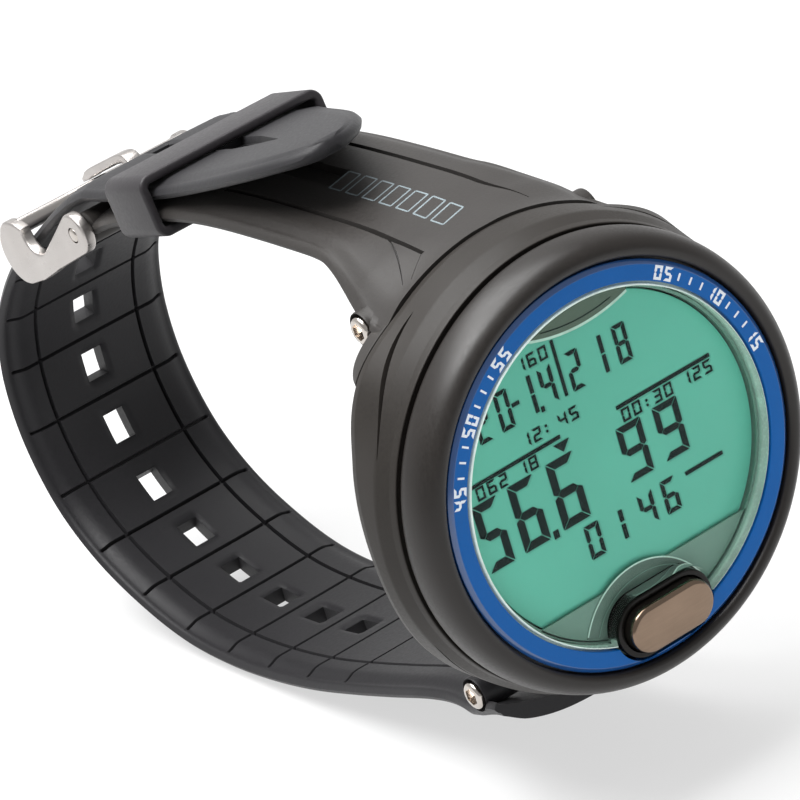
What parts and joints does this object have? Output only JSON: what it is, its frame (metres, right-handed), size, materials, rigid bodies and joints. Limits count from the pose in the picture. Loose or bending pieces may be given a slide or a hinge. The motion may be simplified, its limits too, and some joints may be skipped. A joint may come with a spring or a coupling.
{
  "type": "wrist dive computer",
  "caption": "Round wrist dive computer with a domed lens, segment display, front push button, screwed back with battery cover, and a two-part moulded strap buckled shut.",
  "frame": {"origin": "centre of the case back's flat outer face", "axes": "-Y out of the display, +Y out of the case back towards the wrist, +Z to 12 o'clock, +X to 3 o'clock"},
  "size_m": [0.0588, 0.1334, 0.0857],
  "materials": {
    "case": "fine satin moulding",
    "bezel": "satin",
    "ring": "gloss",
    "lens": "clear",
    "mask": "matte",
    "lcd": "satin glass",
    "light": "matte",
    "board": "solder mask",
    "chip": "matte",
    "chassis": "matte",
    "steel": "satin",
    "cell": "bright nickel",
    "brass": "turned",
    "button": "polished bronze",
    "seal": "matte",
    "strap": "satin elastomer"
  },
  "bodies": {
    "case": {"case_body": "case", "front_bezel": "bezel", "colour_ring": "ring", "lens": "lens", "lens_gasket": "seal", "display_mask": "mask", "lcd_panel": "lcd", "backlight_panel": "light", "chassis": "chassis", "lcd_connector": "seal", "main_board": "board", "microcontroller": "chip", "crystal": "cell", "buzzer": "brass", "tact_switch": "chip", "pressure_sensor": "steel", "battery": "cell", "contact_negative": "brass", "contact_positive": "brass", "button_collar": "chassis", "button_bush": "brass", "button_seal": "seal", "rear_cover": "case", "rear_cover_screw_1": "steel", "rear_cover_screw_2": "steel", "rear_cover_screw_3": "steel", "rear_cover_screw_4": "steel", "rear_cover_seal": "seal", "wet_contact": "steel", "lug_pin_12": "steel", "lug_pin_6": "steel", "lug_screw_12": "steel", "lug_screw_6": "steel", "strap_short": "strap", "strap_long": "strap"},
    "button": {"button_cap": "button", "button_stem": "steel", "button_clip": "steel", "button_spring": "steel"},
    "battery_hatch": {"battery_cover": "chassis", "battery_cover_seal": "seal"},
    "buckle": {"buckle_frame": "steel", "buckle_pin": "steel"},
    "tongue": {"buckle_tongue": "steel"},
    "keeper_loop": {"keeper": "strap"}
  },
  "joints": [
    {"name": "button_press", "type": "slide", "parent": "case", "child": "button", "axis": [0, 1, 0], "range_m": [0, 0.0005], "stiffness_N_per_m": 1200},
    {"name": "hatch_turn", "type": "hinge", "parent": "case", "child": "battery_hatch", "pos_m": [0, 0, 0], "axis": [0, 1, 0], "range_deg": [0, 60]},
    {"name": "buckle_lift", "type": "hinge", "parent": "case", "child": "buckle", "pos_m": [0, 0.0705, 0.0234], "axis": [1, 0, 0], "range_deg": [0, 3]},
    {"name": "tongue_lift", "type": "hinge", "parent": "buckle", "child": "tongue", "pos_m": [0, 0.0705, 0.0234], "axis": [1, 0, 0], "range_deg": [0, 8]},
    {"name": "keeper_slide", "type": "slide", "parent": "case", "child": "keeper_loop", "axis": [0, 0.9787, -0.2055], "range_m": [0, 0.003]}
  ]
}
